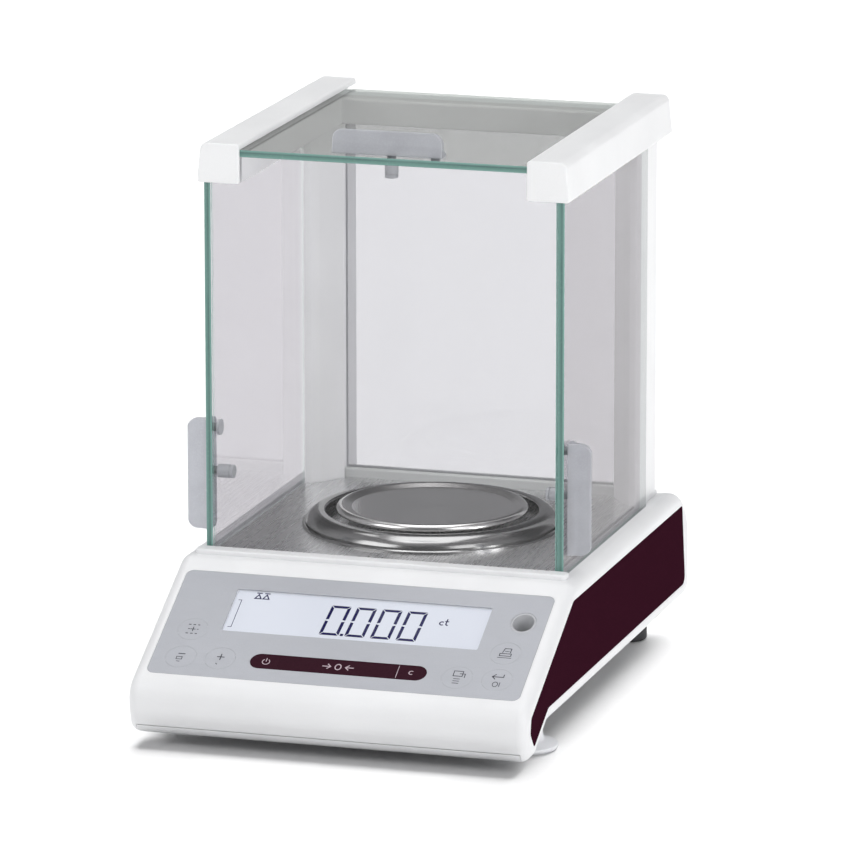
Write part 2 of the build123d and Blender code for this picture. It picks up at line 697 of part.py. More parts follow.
with BuildPart() as rear_crossbeam:
    with BuildSketch(Plane.YZ):
        with BuildLine():
            FilletPolyline(
                (102.0, rail_z),
                (102.0, top_glass_z - 0.1),
                (122.5, top_glass_z - 0.1),
                (122.5, rail_z),
                radius=[0.8, 1.5, 2.5, 0.8],
                close=True,
            )
        make_face()
    extrude(amount=68, both=True)
finish(rear_crossbeam, "rear_crossbeam")

rail_front_y = front_y - 1.6
rail_outline = [(68.0, rail_z), (88.1, rail_z), (86.3, rail_top_z), (68.0, rail_top_z)]
for name, side in (("left_rail", -1), ("right_rail", 1)):
    with BuildPart() as rail:
        with BuildSketch(Plane.XZ.offset(-rail_front_y)):
            with BuildLine():
                FilletPolyline(*[(side * x, z) for x, z in rail_outline], radius=[0.8, 1.2, 3.4, 1.6], close=True)
            make_face()
        extrude(amount=-(rail_rear_y - rail_front_y))
        fillet(rail.edges().group_by(Axis.Y)[0], radius=0.7)
        with BuildSketch(Plane.XZ.offset(-(front_y - fit))):
            with Locations((side * 83.9, rail_z)):
                Rectangle(3.8, 2 * 4.6)
            with Locations((side * 70, (top_glass_z + glass / 2))):
                Rectangle(8.4, glass + 2 * fit)
        extrude(amount=-200, mode=Mode.SUBTRACT)
        with Locations((side * 74, front_y + glass / 2, rail_z)):
            Box(16, glass + 2 * fit, 2 * (top_glass_z - 0.1 - rail_z), mode=Mode.SUBTRACT)
        with Locations((side * 75.2, 28, rail_z)):
            Box(8.6, 140, 2 * 9, mode=Mode.SUBTRACT)
        with Locations((side * 76.5, 112.5, rail_z)):
            Box(6.2, 12.2, 2 * 6.2, mode=Mode.SUBTRACT)
    finish(rail, name)

# ---- Sliding doors, their handles and pegs -------------------------------------------------------
door_length = 142.5
door_low_z, door_top_z = deck_z - 1.9, 246.0
handle_y = front_y + 6.5
handle_l, handle_z = 52.0, 103.6
fin_reach = 11.2
peg_y = 3.2
long_peg_x, short_peg_x = 1.2, 21.8
peg_r = 1.9
peg_sink = 1.1
handle_section = [
    (-1.2, 0),
    (9.5, 0),
    (9.5, 1.7),
    (2.8, 1.7),
    (1.5, fin_reach),
    (-0.4, fin_reach),
    (0.2, 4.5),
]
handle_radii = [0.6, 0.8, 0.8, 3.5, 0.9, 0.9, 6.0]


def handle(short_x):
    """Plate lying on the XY plane with a fin standing up from it; short_x places one peg."""
    with BuildPart() as solid:
        with BuildSketch(Plane.YZ.offset(-handle_l / 2)):
            with BuildLine():
                FilletPolyline(*handle_section, radius=handle_radii, close=True)
            make_face()
        extrude(amount=handle_l)
        with BuildSketch(Plane.XZ):
            with Locations((0, fin_reach / 2 - 5)):
                RectangleRounded(handle_l, fin_reach + 10, 5)
        extrude(amount=20, both=True, mode=Mode.INTERSECT)
        with BuildSketch(Plane.XY):
            with Locations((0, 9.5 - 15)):
                RectangleRounded(handle_l, 30, 4)
        extrude(amount=20, mode=Mode.INTERSECT)
        with Locations((copysign(long_peg_x, short_x), peg_y, 0), (short_x, peg_y, 0)):
            Cylinder(peg_r + run, 2 * peg_sink + 0.1, mode=Mode.SUBTRACT)
    return solid.part


def pegs(short_x):
    """The long stop peg and the short cap that hold a handle, with shanks through the pane."""
    with BuildPart() as solid:
        with Locations((copysign(long_peg_x, short_x), peg_y, -glass)):
            Cylinder(3.15, 5.6, align=(Align.CENTER, Align.CENTER, Align.MAX))
            Cylinder(peg_r, glass + peg_sink, align=(Align.CENTER, Align.CENTER, Align.MIN))
        with Locations((copysign(long_peg_x, short_x), peg_y, -glass - 5.6)):
            Cylinder(2.85, 0.4, align=(Align.CENTER, Align.CENTER, Align.MAX))
        with Locations((copysign(long_peg_x, short_x), peg_y, -glass - 6.0)):
            Cylinder(3.1, 1.6, align=(Align.CENTER, Align.CENTER, Align.MAX))
        fillet(solid.edges().group_by(Axis.Z)[0], radius=0.4)
        with Locations((short_x, peg_y, -glass)):
            Cylinder(3.7, 1.3, align=(Align.CENTER, Align.CENTER, Align.MAX))
            Cylinder(peg_r, glass + peg_sink, align=(Align.CENTER, Align.CENTER, Align.MIN))
    return solid.part


# Origin of each handle: on the pane's outer face, X along the handle, Y to the rear, Z outward.
handle_planes = {
    "left": Plane(origin=(-door_x - glass, handle_y, handle_z), x_dir=(0, 0, 1), z_dir=(-1, 0, 0)),
    "right": Plane(origin=(door_x + glass, handle_y, handle_z), x_dir=(0, 0, -1), z_dir=(1, 0, 0)),
    "top": Plane(origin=(0, handle_y, top_glass_z + glass), x_dir=(1, 0, 0), z_dir=(0, 0, 1)),
}
short_side = {"left": 1, "right": -1, "top": 1}
for door, plane in handle_planes.items():
    handle_part = plane.location * handle(short_side[door] * short_peg_x)
    handle_part.label = f"{door}_door_handle"
    export_step(handle_part, f"parts/{handle_part.label}.step")
    pegs_part = plane.location * pegs(short_side[door] * short_peg_x)
    pegs_part.label = f"{door}_handle_pegs"
    export_step(pegs_part, f"parts/{pegs_part.label}.step")

for name, side in (("left_door_glass", -1), ("right_door_glass", 1)):
    with BuildPart() as side_door:
        with Locations((side * (door_x + glass / 2), front_y, door_low_z)):
            Box(glass, door_length, door_top_z - door_low_z, align=(Align.CENTER, Align.MIN, Align.MIN))
        chamfer(side_door.edges().filter_by(Axis.Z), length=0.3)
        bores = [(x, peg_y, -glass / 2) for x in (side * -long_peg_x, side * -short_peg_x)]
        with Locations(handle_planes[name.split("_")[0]]):
            with Locations(bores):
                Cylinder(peg_r + run, glass + 1, mode=Mode.SUBTRACT)
    finish(side_door, name)

top_door_length = 161.5
with BuildPart() as top_door:
    with Locations((0, front_y, top_glass_z)):
        Box(2 * 73.8, top_door_length, glass, align=(Align.CENTER, Align.MIN, Align.MIN))
    with Locations(handle_planes["top"]):
        with Locations((long_peg_x, peg_y, -glass / 2), (short_peg_x, peg_y, -glass / 2)):
            Cylinder(peg_r + run, glass + 1, mode=Mode.SUBTRACT)
finish(top_door, "top_door_glass")

# ---- Feet, hook cover and screws -----------------------------------------------------------------
for name, side in (("left_front_foot", -1), ("right_front_foot", 1)):
    with BuildPart() as front_foot:
        with BuildSketch(Plane.XZ.offset(-foot_y)):
            with BuildLine():
                FilletPolyline(
                    (0, 0), (14.2, 0), (15.0, 1.2), (15.0, 2.4), (8.6, 4.6), (8.0, 8.0), (8.0, 12.5), (stud_r, 12.5),
                    (stud_r, 33), (3, 34), (0, 34),
                    radius=[0.4, 0.4, 0.5, 2.0, 1.0, 0.5, 0, 0, 0],
                )
                Line((0, 34), (0, 0))
            make_face()
        revolve(axis=Axis((0, foot_y, 0), (0, 0, 1)))
        front_foot.part.position = (side * foot_x, 0, 0)
    finish(front_foot, name)

with BuildPart() as rear_feet:
    with BuildSketch(Plane.XY):
        with Locations((rear_foot_x, rear_foot_y), (-rear_foot_x, rear_foot_y)):
            Circle(8.5)
    extrude(amount=underside_z)
    with BuildSketch(Plane.XY):
        with Locations((rear_foot_x, rear_foot_y), (-rear_foot_x, rear_foot_y)):
            Circle(10)
    extrude(amount=5)
    fillet(rear_feet.edges().group_by(Axis.Z)[0], radius=1)
    with Locations((rear_foot_x, rear_foot_y, underside_z), (-rear_foot_x, rear_foot_y, underside_z)):
        Cylinder(2.95, 4, align=(Align.CENTER, Align.CENTER, Align.MIN))
finish(rear_feet, "rear_feet")

with BuildPart() as hook_cover:
    with BuildSketch(Plane.XY.offset(underside_z - 1.8)):
        with Locations((0, (pan_y + hook_pin_y) / 2)):
            SlotCenterPoint((0, 0), (0, (hook_pin_y - pan_y) / 2), 20, rotation=0)
    extrude(amount=1.7)
    with Locations((0, hook_pin_y, underside_z - 0.1)):
        Cylinder(2, 5.2, align=(Align.CENTER, Align.CENTER, Align.MIN))
finish(hook_cover, "hook_cover")

with BuildPart() as housing_screws:
    with Locations([(x, y, underside_z) for x, y in housing_screw_xy + cell_screw_xy]):
        Cylinder(screw_r, 11, align=(Align.CENTER, Align.CENTER, Align.MIN))
        Cylinder(2.9, 1.8, align=(Align.CENTER, Align.CENTER, Align.MAX))
    with Locations([(x, y, underside_z - 1.8) for x, y in housing_screw_xy + cell_screw_xy]):
        Box(3.4, 0.8, 1.6, mode=Mode.SUBTRACT)
        Box(0.8, 3.4, 1.6, mode=Mode.SUBTRACT)
finish(housing_screws, "housing_screws")

with BuildPart() as post_screws:
    with Locations([(x, y, 62.6) for x in (-post_screw_x, post_screw_x) for y in post_screw_y]):
        Cylinder(1.9, 28, align=(Align.CENTER, Align.CENTER, Align.MIN))
        Cylinder(3.5, 2.2, align=(Align.CENTER, Align.CENTER, Align.MAX))
finish(post_screws, "post_screws")
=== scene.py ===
import json
from math import cos, pi, radians, sin, tan

import bmesh
import bpy
from mathutils import Matrix, Vector

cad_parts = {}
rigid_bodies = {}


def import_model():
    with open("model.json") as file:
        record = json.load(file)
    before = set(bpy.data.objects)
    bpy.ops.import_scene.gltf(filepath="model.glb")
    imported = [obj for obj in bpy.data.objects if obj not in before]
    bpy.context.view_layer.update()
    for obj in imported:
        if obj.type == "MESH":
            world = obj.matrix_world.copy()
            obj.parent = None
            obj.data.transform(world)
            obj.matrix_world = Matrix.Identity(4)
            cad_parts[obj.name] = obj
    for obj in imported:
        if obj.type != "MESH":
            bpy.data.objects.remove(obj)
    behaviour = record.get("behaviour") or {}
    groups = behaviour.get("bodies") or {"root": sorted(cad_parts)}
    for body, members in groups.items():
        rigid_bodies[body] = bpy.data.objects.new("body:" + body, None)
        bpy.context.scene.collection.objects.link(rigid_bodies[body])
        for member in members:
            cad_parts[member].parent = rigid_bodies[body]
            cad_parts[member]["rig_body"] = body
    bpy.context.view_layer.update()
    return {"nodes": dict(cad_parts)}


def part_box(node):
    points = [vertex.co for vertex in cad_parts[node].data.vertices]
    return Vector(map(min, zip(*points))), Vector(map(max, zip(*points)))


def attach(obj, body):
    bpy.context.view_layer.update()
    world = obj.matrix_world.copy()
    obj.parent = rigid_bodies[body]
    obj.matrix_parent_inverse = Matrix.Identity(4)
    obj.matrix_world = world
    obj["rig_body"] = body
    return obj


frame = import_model()
nodes = frame["nodes"]
MM = 0.001


# ---- Node trees ----------------------------------------------------------------------------------
def tone(red, green, blue):
    """A linear colour from display values of 0 to 255."""
    shares = [value / 255 for value in (red, green, blue)]
    linear = [c / 12.92 if c <= 0.04045 else ((c + 0.055) / 1.055) ** 2.4 for c in shares]
    return (*linear, 1.0)


def scaled(colour, factor):
    """A colour made darker or lighter."""
    return (*(c * factor for c in colour[:3]), 1.0)


class Nodes:
    """Short ways to add nodes to a tree."""

    def __init__(self, tree):
        self.tree = tree

    def add(self, kind, feeds=(), **settings):
        """A new node. Feeds gives its inputs, each a value or the output of another node."""
        node = self.tree.nodes.new(kind)
        for key, value in settings.items():
            setattr(node, key, value)
        for socket, value in dict(feeds).items():
            if isinstance(value, bpy.types.NodeSocket):
                self.tree.links.new(value, node.inputs[socket])
            else:
                node.inputs[socket].default_value = value
        return node

    def span(self, value, low, high, start=0.3, stop=0.7):
        """A value of start to stop brought to low to high. Most noise lies between the defaults."""
        feeds = {"Value": value, "From Min": start, "From Max": stop, "To Min": low, "To Max": high}
        return self.add("ShaderNodeMapRange", feeds).outputs[0]

    def plus(self, first, second):
        return self.add("ShaderNodeMath", {0: first, 1: second}, operation="ADD").outputs[0]

    def minus(self, first, second):
        return self.add("ShaderNodeMath", {0: first, 1: second}, operation="SUBTRACT").outputs[0]

    def times(self, first, second):
        return self.add("ShaderNodeMath", {0: first, 1: second}, operation="MULTIPLY").outputs[0]

    def absolute(self, value):
        return self.add("ShaderNodeMath", {0: value}, operation="ABSOLUTE").outputs[0]

    def mixed(self, factor, first, second):
        """A colour between first and second. The colour sockets of the mix node are 6, 7 and output 2."""
        feeds = {0: factor, 6: first, 7: second}
        return self.add("ShaderNodeMix", feeds, data_type="RGBA").outputs[2]

    def ramp(self, value, *stops):
        """The colour at value, from stops of (place, colour)."""
        node = self.add("ShaderNodeValToRGB", {"Fac": value})
        elements = node.color_ramp.elements
        while len(elements) < len(stops):
            elements.new(0.5)
        for element, (place, colour) in zip(elements, stops):
            element.position = place
            element.color = colour
        return node.outputs[0]

    def axis(self, vector, index):
        return self.add("ShaderNodeSeparateXYZ", {0: vector}).outputs[index]


class Finish(Nodes):
    """One procedural material. Lengths are metres in the row frame."""

    def __init__(self, name):
        self.material = bpy.data.materials.new(name)
        self.material.use_nodes = True
        super().__init__(self.material.node_tree)
        self.tree.nodes.clear()
        self.coords = self.add("ShaderNodeTexCoord").outputs
        self.geometry = self.add("ShaderNodeNewGeometry").outputs

    def noise(self, scale, stretch=(1, 1, 1), detail=2.0, source=None):
        place = self.add("ShaderNodeMapping", {"Vector": source or self.coords["Object"], "Scale": stretch})
        feeds = {"Vector": place.outputs[0], "Scale": scale, "Detail": detail}
        return self.add("ShaderNodeTexNoise", feeds).outputs[0]

    def soft_edges(self, radius):
        """A normal that rounds the edges by radius, and a mask that is 1 on the edges."""
        normal = self.add("ShaderNodeBevel", {"Radius": radius}, samples=4).outputs[0]
        feeds = {0: normal, 1: self.geometry["Normal"]}
        along = self.add("ShaderNodeVectorMath", feeds, operation="DOT_PRODUCT").outputs["Value"]
        return normal, self.span(along, 1.0, 0.0, 0.80, 0.995)

    def bump(self, height, depth, strength=1.0, normal=None):
        feeds = {"Height": height, "Distance": depth, "Strength": strength}
        if normal is not None:
            feeds["Normal"] = normal
        return self.add("ShaderNodeBump", feeds).outputs[0]

    def principled(self, **feeds):
        names = {key.replace("_", " "): value for key, value in feeds.items()}
        return self.add("ShaderNodeBsdfPrincipled", names).outputs[0]

    def outer_mirror(self, index, strength):
        """How much the outer side of a clear surface mirrors. Its inner side doesn't."""
        fresnel = self.add("ShaderNodeFresnel", {"IOR": index}).outputs[0]
        outer = self.minus(1.0, self.geometry["Backfacing"])
        return self.times(fresnel, self.times(outer, strength))

    def mix_shader(self, factor, first, second):
        return self.add("ShaderNodeMixShader", {0: factor, 1: first, 2: second}).outputs[0]

    def done(self, shader):
        self.add("ShaderNodeOutputMaterial", {"Surface": shader})
        return self.material


def plastic(name, colour, rough, grain=0.000016, grain_size=0.0004, wear=1.06):
    """Moulded plastic: fine spark-eroded grain, slow colour drift, rubbed edges."""
    made = Finish(name)
    drift = made.noise(22, detail=3)
    speckle = made.noise(0.8 / grain_size, detail=1)
    body = made.mixed(made.span(drift, 0.0, 1.0), scaled(colour, 0.965), scaled(colour, 1.025))
    body = made.mixed(made.span(speckle, 0.0, 0.05), body, scaled(colour, 0.7))
    normal, rubbed = made.soft_edges(0.0003)
    body = made.mixed(rubbed, body, scaled(colour, wear))
    handled = made.noise(60, detail=4)
    roughness = made.minus(made.span(handled, rough - 0.05, rough + 0.07), made.times(rubbed, 0.08))
    pores = made.noise(1.0 / grain_size, detail=2)
    return made.done(
        made.principled(
            Base_Color=body,
            Roughness=roughness,
            Specular_IOR_Level=0.5,
            Normal=made.bump(pores, grain, 0.7, normal),
        )
    )


def metal(name, colour, rough, stretch, lines=900.0, depth=0.000004, spots=0.05, streak=0.0):
    """Worked metal: uneven polish, faint stains, brighter edges.

    The grain is long in a direction where stretch is small. Streak draws the highlights out along Y.
    """
    made = Finish(name)
    drawn = made.noise(lines, stretch, detail=4)
    broad = made.noise(lines / 9, stretch, detail=2)
    stains = made.noise(45, detail=4)
    body = made.mixed(made.span(drawn, 0.0, 1.0), scaled(colour, 0.98), scaled(colour, 1.015))
    body = made.mixed(made.span(stains, 0.0, spots * 2), body, scaled(colour, 0.6))
    normal, bright = made.soft_edges(0.0002)
    body = made.mixed(made.times(bright, 0.5), body, scaled(colour, 1.25))
    roughness = made.plus(made.span(broad, rough - 0.015, rough + 0.02), made.span(drawn, 0.0, 0.03))
    return made.done(
        made.principled(
            Base_Color=body,
            Metallic=1.0,
            Roughness=roughness,
            Anisotropic=streak,
            Tangent=made.add("ShaderNodeCombineXYZ", {0: 0.0, 1: 1.0, 2: 0.0}).outputs[0],
            Normal=made.bump(drawn, depth, 0.6, normal),
        )
    )


def turned_metal(name, colour, rough):
    """Metal turned on a lathe: fine rings round the pan's vertical axis, and faint smears."""
    made = Finish(name)
    feeds = {0: made.coords["Object"], 1: pan_centre}
    offset = made.add("ShaderNodeVectorMath", feeds, operation="SUBTRACT").outputs[0]
    flat = made.add("ShaderNodeVectorMath", {0: offset, 1: (1, 1, 0)}, operation="MULTIPLY").outputs[0]
    radius = made.add("ShaderNodeVectorMath", {0: flat}, operation="LENGTH").outputs["Value"]
    height = made.times(made.axis(offset, 2), 0.7)
    place = made.add("ShaderNodeCombineXYZ", {0: radius, 1: height, 2: 0.0}).outputs[0]
    grooves = made.noise(LATHE_LINES, detail=3, source=place)
    smears = made.noise(30, detail=4)
    body = made.mixed(made.span(grooves, 0.0, 1.0), scaled(colour, 0.99), scaled(colour, 1.01))
    body = made.mixed(made.span(smears, 0.0, 0.05), body, scaled(colour, 0.8))
    roughness = made.span(smears, rough - 0.015, rough + 0.025)
    return made.done(
        made.principled(
            Base_Color=body,
            Metallic=1.0,
            Roughness=roughness,
            Anisotropic=0.25,
            Tangent=made.add("ShaderNodeTangent", direction_type="RADIAL", axis="Z").outputs[0],
            Normal=made.bump(grooves, LATHE_DEPTH, 0.2),
        )
    )


def pane(name, axis, tint, slant_tint, edge_glow):
    """Float glass, clear through its faces and green through its ground edges. Axis is across the pane.

    Tint is what it does to light seen square on, slant_tint at a slant. Edge_glow is how strong a painted
    glow, a fixed emission, is on its edges when seen from within the glass.
    """
    made = Finish(name)
    facing = made.absolute(made.axis(made.coords["Normal"], axis))
    is_edge = made.add("ShaderNodeMath", {0: facing, 1: 0.8}, operation="LESS_THAN").outputs[0]
    film = made.noise(14, detail=5)
    dust = made.noise(2600, detail=2)
    smear = made.span(film, 0.012, 0.05)
    slant = made.add("ShaderNodeLayerWeight", {"Blend": 0.5}).outputs["Facing"]
    body = made.mixed(slant, tint, slant_tint)
    body = made.mixed(made.span(film, 0.0, 0.012), body, (0.7, 0.7, 0.72, 1))
    clear = made.add("ShaderNodeBsdfTransparent", {"Color": body})
    wavy = made.bump(made.noise(9, detail=1), 0.00012, 0.12)
    gloss = made.add("ShaderNodeBsdfGlossy", {"Color": (1, 1, 1, 1), "Roughness": smear, "Normal": wavy})
    mirror = made.outer_mirror(1.42, 0.9)
    face = made.mix_shader(mirror, clear.outputs[0], gloss.outputs[0])
    veil = made.add("ShaderNodeBsdfDiffuse", {"Color": (0.85, 0.86, 0.9, 1)}).outputs[0]
    face = made.mix_shader(made.span(dust, 0.0, 0.0015, 0.55, 0.8), face, veil)
    across = made.axis(made.coords["Generated"], axis)
    # Across the edge face: lighter at both arrises and darker in the middle, painted highlights and painted
    # shade over the green of the glass.
    bands = made.ramp(
        across,
        (0.0, scaled(EDGE_LIGHT, 1.5)),
        (0.12, EDGE_LIGHT),
        (0.45, EDGE_DARK),
        (0.62, scaled(EDGE_DARK, 0.62)),
        (0.8, EDGE_LIGHT),
        (1.0, scaled(EDGE_LIGHT, 1.4)),
    )
    length = made.noise(38, detail=3)
    bands = made.mixed(made.span(length, 0.0, 0.45), bands, EDGE_LIGHT)
    chips = made.noise(1500, detail=2)
    edge_normal = made.bump(chips, 0.00002, 0.5)
    edge_gloss = made.principled(
        Base_Color=bands, Roughness=made.span(chips, 0.12, 0.3), Specular_IOR_Level=0.6, Normal=edge_normal
    )
    from_within = made.add("ShaderNodeBsdfTransparent", {"Color": (0.86, 0.90, 0.885, 1)}).outputs[0]
    # Painted glow: a fixed emission makes the edges seen from within the glass look lit.
    painted_edge_glow = made.add("ShaderNodeEmission", {"Color": (0.66, 0.67, 0.67, 1)}).outputs[0]
    from_within = made.mix_shader(edge_glow, from_within, painted_edge_glow)
    edge = made.mix_shader(made.geometry["Backfacing"], edge_gloss, from_within)
    return made.done(made.mix_shader(is_edge, face, edge))


def smoked(name, colour, density):
    """Translucent moulded acrylic: grey tint, soft inner light, rims painted lighter as a painted highlight.
    """
    made = Finish(name)
    normal, rim = made.soft_edges(0.0007)
    swirl = made.noise(75, detail=3)
    fine = made.noise(1900, detail=2)
    body = made.mixed(made.span(swirl, 0.0, 1.0), scaled(colour, 0.94), scaled(colour, 1.05))
    # Painted highlight: the rims are lighter in colour; below they are also made a little more opaque.
    body = made.mixed(rim, body, scaled(colour, 1.4))
    solid = made.principled(
        Base_Color=body,
        Roughness=made.span(fine, 0.2, 0.32),
        Normal=made.bump(fine, 0.000008, 0.4, normal),
        Specular_IOR_Level=0.6,
    )
    glow = made.add("ShaderNodeBsdfTranslucent", {"Color": body, "Normal": normal}).outputs[0]
    solid = made.mix_shader(0.3, solid, glow)
    clear = made.add("ShaderNodeBsdfTransparent", {"Color": scaled(colour, 1.25)}).outputs[0]
    cover = made.plus(made.times(rim, 0.3), density)
    return made.done(made.mix_shader(cover, clear, solid))


def film_grey(name, colour):
    """Silver-grey printed keypad film: fine metallic fleck, satin grain, faint rub marks."""
    made = Finish(name)
    fleck = made.noise(5200, detail=1)
    cloud = made.noise(16, detail=2)
    body = made.mixed(made.span(fleck, 0.0, 1.0), scaled(colour, 0.93), scaled(colour, 1.08))
    body = made.mixed(made.span(cloud, 0.0, 0.5), body, scaled(colour, 0.95))
    rub = made.noise(120, (1, 6, 1), detail=5)
    return made.done(
        made.principled(
            Base_Color=body,
            Metallic=0.25,
            Roughness=made.span(rub, 0.36, 0.46),
            Normal=made.bump(made.noise(2600, detail=2), 0.000006, 0.5),
            Specular_IOR_Level=0.45,
        )
    )


def printed_film(name, colour, rough, gloss):
    """Dark screen-printed film under a satin coat, with the light web of the print showing."""
    made = Finish(name)
    web = made.noise(1700, detail=3)
    cloud = made.noise(20, detail=3)
    body = made.mixed(made.span(web, 0.0, 1.0), scaled(colour, 0.85), scaled(colour, 1.25))
    body = made.mixed(made.span(cloud, 0.0, 0.25), body, scaled(colour, 1.2))
    scratch = made.noise(900, (1, 0.3, 1), detail=4)
    return made.done(
        made.principled(
            Base_Color=body,
            Roughness=made.span(scratch, rough - 0.02, rough + 0.04),
            Specular_IOR_Level=gloss,
            Normal=made.bump(web, 0.000004, 0.5),
        )
    )


def ink(name, colour, rough=0.5):
    """Screen-printing ink, a little uneven at its edges."""
    made = Finish(name)
    grainy = made.noise(3800, detail=3)
    body = made.mixed(made.span(grainy, 0.0, 1.0), scaled(colour, 0.9), scaled(colour, 1.12))
    return made.done(
        made.principled(
            Base_Color=body,
            Roughness=made.span(grainy, rough - 0.05, rough + 0.08),
            Specular_IOR_Level=0.06,
            Normal=made.bump(grainy, 0.000003, 0.5),
        )
    )


def lit_panel(name, colour, glow, low, high):
    """Backlit liquid-crystal glass: pale, evenly lit, a little dimmer towards its ends."""
    made = Finish(name)
    ends = made.ramp(
        made.span(made.axis(made.coords["Object"], 0), 0.0, 1.0, low.x, high.x),
        (0.0, scaled(colour, 0.95)),
        (0.12, colour),
        (0.5, scaled(colour, 1.02)),
        (1.0, scaled(colour, 0.96)),
    )
    cells_across = 360
    cells = made.noise(cells_across / (high.x - low.x), detail=2)
    body = made.mixed(made.span(cells, 0.0, 0.06), ends, scaled(colour, 0.8))
    return made.done(
        made.principled(
            Base_Color=scaled(colour, 0.42),
            Roughness=made.span(cells, 0.32, 0.4),
            Emission_Color=body,
            Emission_Strength=glow,
            Normal=made.bump(cells, 0.000003, 0.3),
        )
    )


def cover_glass(name):
    """Clear hard-coated window with a soft sheen and fine wiping marks."""
    made = Finish(name)
    wipes = made.noise(90, (1, 5, 1), detail=5)
    clear = made.add("ShaderNodeBsdfTransparent", {"Color": (0.97, 0.975, 0.985, 1)}).outputs[0]
    feeds = {"Color": (1, 1, 1, 1), "Roughness": made.span(wipes, 0.12, 0.2)}
    gloss = made.add("ShaderNodeBsdfGlossy", feeds).outputs[0]
    return made.done(made.mix_shader(made.outer_mirror(1.3, 0.5), clear, gloss))


def circuit_board(name):
    """Solder-masked board: copper tracks under the mask, pads and a woven core."""
    made = Finish(name)
    feeds = {
        "Vector": made.coords["Object"],
        "Scale": 260.0,
        "Mortar Size": 0.035,
        "Color1": tone(24, 84, 52),
        "Color2": tone(30, 98, 58),
        "Mortar": tone(60, 132, 74),
    }
    grid = made.add("ShaderNodeTexBrick", feeds)
    weave = made.noise(1400, detail=2)
    body = made.mixed(made.span(weave, 0.0, 0.3), grid.outputs[0], tone(16, 62, 40))
    return made.done(
        made.principled(
            Base_Color=body,
            Roughness=made.span(weave, 0.25, 0.4),
            Normal=made.bump(grid.outputs["Fac"], 0.00003, 0.6),
        )
    )


def wound_copper(name):
    """Enamelled copper winding: close turns stacked along the vertical axis."""
    made = Finish(name)
    angle_per_metre = 9000
    angle = made.times(made.axis(made.coords["Object"], 2), angle_per_metre)
    turns = made.add("ShaderNodeMath", {0: angle}, operation="SINE").outputs[0]
    layer = made.span(turns, 0.0, 1.0, -1, 1)
    # Each turn is darker at its sides and lighter on its crest: painted shade and painted highlight of the
    # round wire.
    body = made.mixed(layer, tone(108, 52, 24), tone(196, 112, 62))
    smudge = made.noise(300, detail=3)
    return made.done(
        made.principled(
            Base_Color=body,
            Metallic=0.8,
            Roughness=made.span(smudge, 0.22, 0.36),
            Normal=made.bump(layer, 0.00012, 0.8),
        )
    )


def rubber(name, colour):
    """Matt moulded rubber with dust in its grain."""
    made = Finish(name)
    grains = made.noise(2100, detail=3)
    dust = made.noise(160, detail=5)
    body = made.mixed(made.span(grains, 0.0, 1.0), scaled(colour, 0.8), scaled(colour, 1.2))
    body = made.mixed(made.span(dust, 0.0, 0.25, 0.5, 0.8), body, tone(140, 140, 142))
    normal, rubbed = made.soft_edges(0.0004)
    body = made.mixed(made.times(rubbed, 0.3), body, scaled(colour, 1.6))
    return made.done(
        made.principled(
            Base_Color=body,
            Roughness=made.span(dust, 0.62, 0.8),
            Normal=made.bump(grains, 0.00002, 0.8, normal),
        )
    )


# ---- Materials: one for each of the record's slots, and those of the panes and the sill ---------------
pan_low, pan_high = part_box("weighing_pan")
pan_centre = (pan_low + pan_high) / 2
lcd_low, lcd_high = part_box("lcd_panel")

MAROON = tone(49, 19, 31)
EDGE_LIGHT, EDGE_DARK = tone(106, 146, 138), tone(84, 126, 118)
EVEN = (1, 1, 1)
LATHE_LINES, LATHE_DEPTH = 2500, 0.00000003

